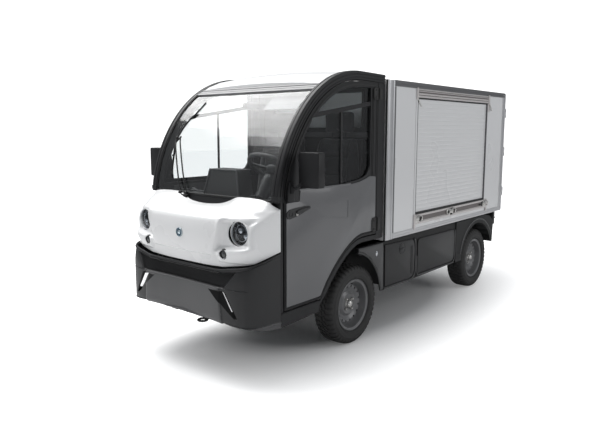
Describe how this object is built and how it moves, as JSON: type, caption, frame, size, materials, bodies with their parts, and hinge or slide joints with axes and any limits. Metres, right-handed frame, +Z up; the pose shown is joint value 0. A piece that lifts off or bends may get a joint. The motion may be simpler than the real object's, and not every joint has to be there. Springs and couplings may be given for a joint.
{
  "type": "electric utility vehicle with box body",
  "caption": "Compact electric utility vehicle: two-seat forward-control cab with rear-hinged doors, and a box body with side shutters and rear doors.",
  "frame": {"origin": "on the ground under the middle of the vehicle's length and width", "axes": "+Z up, +Y towards the rear, +X towards the vehicle's left side"},
  "size_m": [1.59, 3.655, 1.926],
  "materials": {
    "tyre": "matt moulded rubber",
    "rim": "grey painted steel",
    "chassis": "black painted steel",
    "battery": "black cased battery",
    "dark_plastic": "grained moulded plastic",
    "black_frame": "satin black",
    "white_panel": "glossy white",
    "header": "satin grey",
    "windscreen_glass": "clear laminated glass",
    "tinted_glass": "tinted glass",
    "door_panel": "satin grey paint",
    "lamp": "clear lens over chrome",
    "seat": "black woven cloth",
    "box_panel": "light grey coated panel with aluminium rails",
    "shutter": "anodised slats"
  },
  "bodies": {
    "body": {"chassis_frame": "chassis", "front_axle": "chassis", "rear_axle": "chassis", "battery_pack": "battery", "cab_floor": "dark_plastic", "front_bulkhead": "dark_plastic", "cab_rear_wall": "black_frame", "rear_window": "windscreen_glass", "cab_roof": "white_panel", "windscreen_header": "header", "windscreen": "windscreen_glass", "bonnet": "white_panel", "bumper": "dark_plastic", "headlight_left": "lamp", "headlight_right": "lamp", "cab_arch_left": "black_frame", "cab_arch_right": "black_frame", "dashboard": "dark_plastic", "driver_seat": "seat", "passenger_seat": "seat", "box_floor": "box_panel", "box_roof": "box_panel", "box_front_wall": "box_panel", "box_side_left": "box_panel", "box_side_right": "box_panel", "shutter_left": "shutter", "shutter_right": "shutter", "side_skirt_left": "dark_plastic", "side_skirt_right": "dark_plastic", "rear_lamp_bar": "chassis"},
    "wheel_front_left": {"tyre_front_left": "tyre", "rim_front_left": "rim"},
    "wheel_front_right": {"tyre_front_right": "tyre", "rim_front_right": "rim"},
    "wheel_rear_left": {"tyre_rear_left": "tyre", "rim_rear_left": "rim"},
    "wheel_rear_right": {"tyre_rear_right": "tyre", "rim_rear_right": "rim"},
    "steering_knuckle_left": {"knuckle_left": "chassis"},
    "door_left": {"cab_door_left": "door_panel", "door_glass_left": "tinted_glass", "mirror_left": "dark_plastic"},
    "box_door_left": {"rear_door_left": "box_panel"},
    "steering_knuckle_right": {"knuckle_right": "chassis"},
    "door_right": {"cab_door_right": "door_panel", "door_glass_right": "tinted_glass", "mirror_right": "dark_plastic"},
    "box_door_right": {"rear_door_right": "box_panel"},
    "steering": {"steering_wheel": "dark_plastic"}
  },
  "joints": [
    {"name": "steer_left", "type": "hinge", "parent": "body", "child": "steering_knuckle_left", "pos_m": [0.385, -0.735, 0.2825], "axis": [0, 0, 1], "range_deg": [-30, 30]},
    {"name": "steer_right", "type": "hinge", "parent": "body", "child": "steering_knuckle_right", "pos_m": [-0.385, -0.735, 0.2825], "axis": [0, 0, 1], "range_deg": [-30, 30]},
    {"name": "wheel_front_left_spin", "type": "hinge", "parent": "steering_knuckle_left", "child": "wheel_front_left", "pos_m": [0.4875, -0.735, 0.2825], "axis": [1, 0, 0], "continuous": true},
    {"name": "wheel_front_right_spin", "type": "hinge", "parent": "steering_knuckle_right", "child": "wheel_front_right", "pos_m": [-0.4875, -0.735, 0.2825], "axis": [1, 0, 0], "continuous": true},
    {"name": "wheel_rear_left_spin", "type": "hinge", "parent": "body", "child": "wheel_rear_left", "pos_m": [0.4875, 1.295, 0.2825], "axis": [1, 0, 0], "continuous": true},
    {"name": "wheel_rear_right_spin", "type": "hinge", "parent": "body", "child": "wheel_rear_right", "pos_m": [-0.4875, 1.295, 0.2825], "axis": [1, 0, 0], "continuous": true},
    {"name": "steering_wheel_turn", "type": "hinge", "parent": "body", "child": "steering", "pos_m": [0.29, -1.27, 1.262], "axis": [0, 0.5736, 0.8192], "range_deg": [-480, 480]},
    {"name": "door_left_hinge", "type": "hinge", "parent": "body", "child": "door_left", "pos_m": [0.612, -0.5265, 0.9], "axis": [0, 0, 1], "range_deg": [0, 75]},
    {"name": "box_door_left_hinge", "type": "hinge", "parent": "body", "child": "box_door_left", "pos_m": [0.609, 1.817, 1.29], "axis": [0, 0, -1], "range_deg": [0, 180]},
    {"name": "door_right_hinge", "type": "hinge", "parent": "body", "child": "door_right", "pos_m": [-0.612, -0.5265, 0.9], "axis": [0, 0, -1], "range_deg": [0, 75]},
    {"name": "box_door_right_hinge", "type": "hinge", "parent": "body", "child": "box_door_right", "pos_m": [-0.609, 1.817, 1.29], "axis": [0, 0, 1], "range_deg": [0, 180]}
  ],
  "couplings": [
    {"joint": "steer_right", "follows": "steer_left", "ratio": 1},
    {"joint": "steering_wheel_turn", "follows": "steer_left", "ratio": 15}
  ]
}
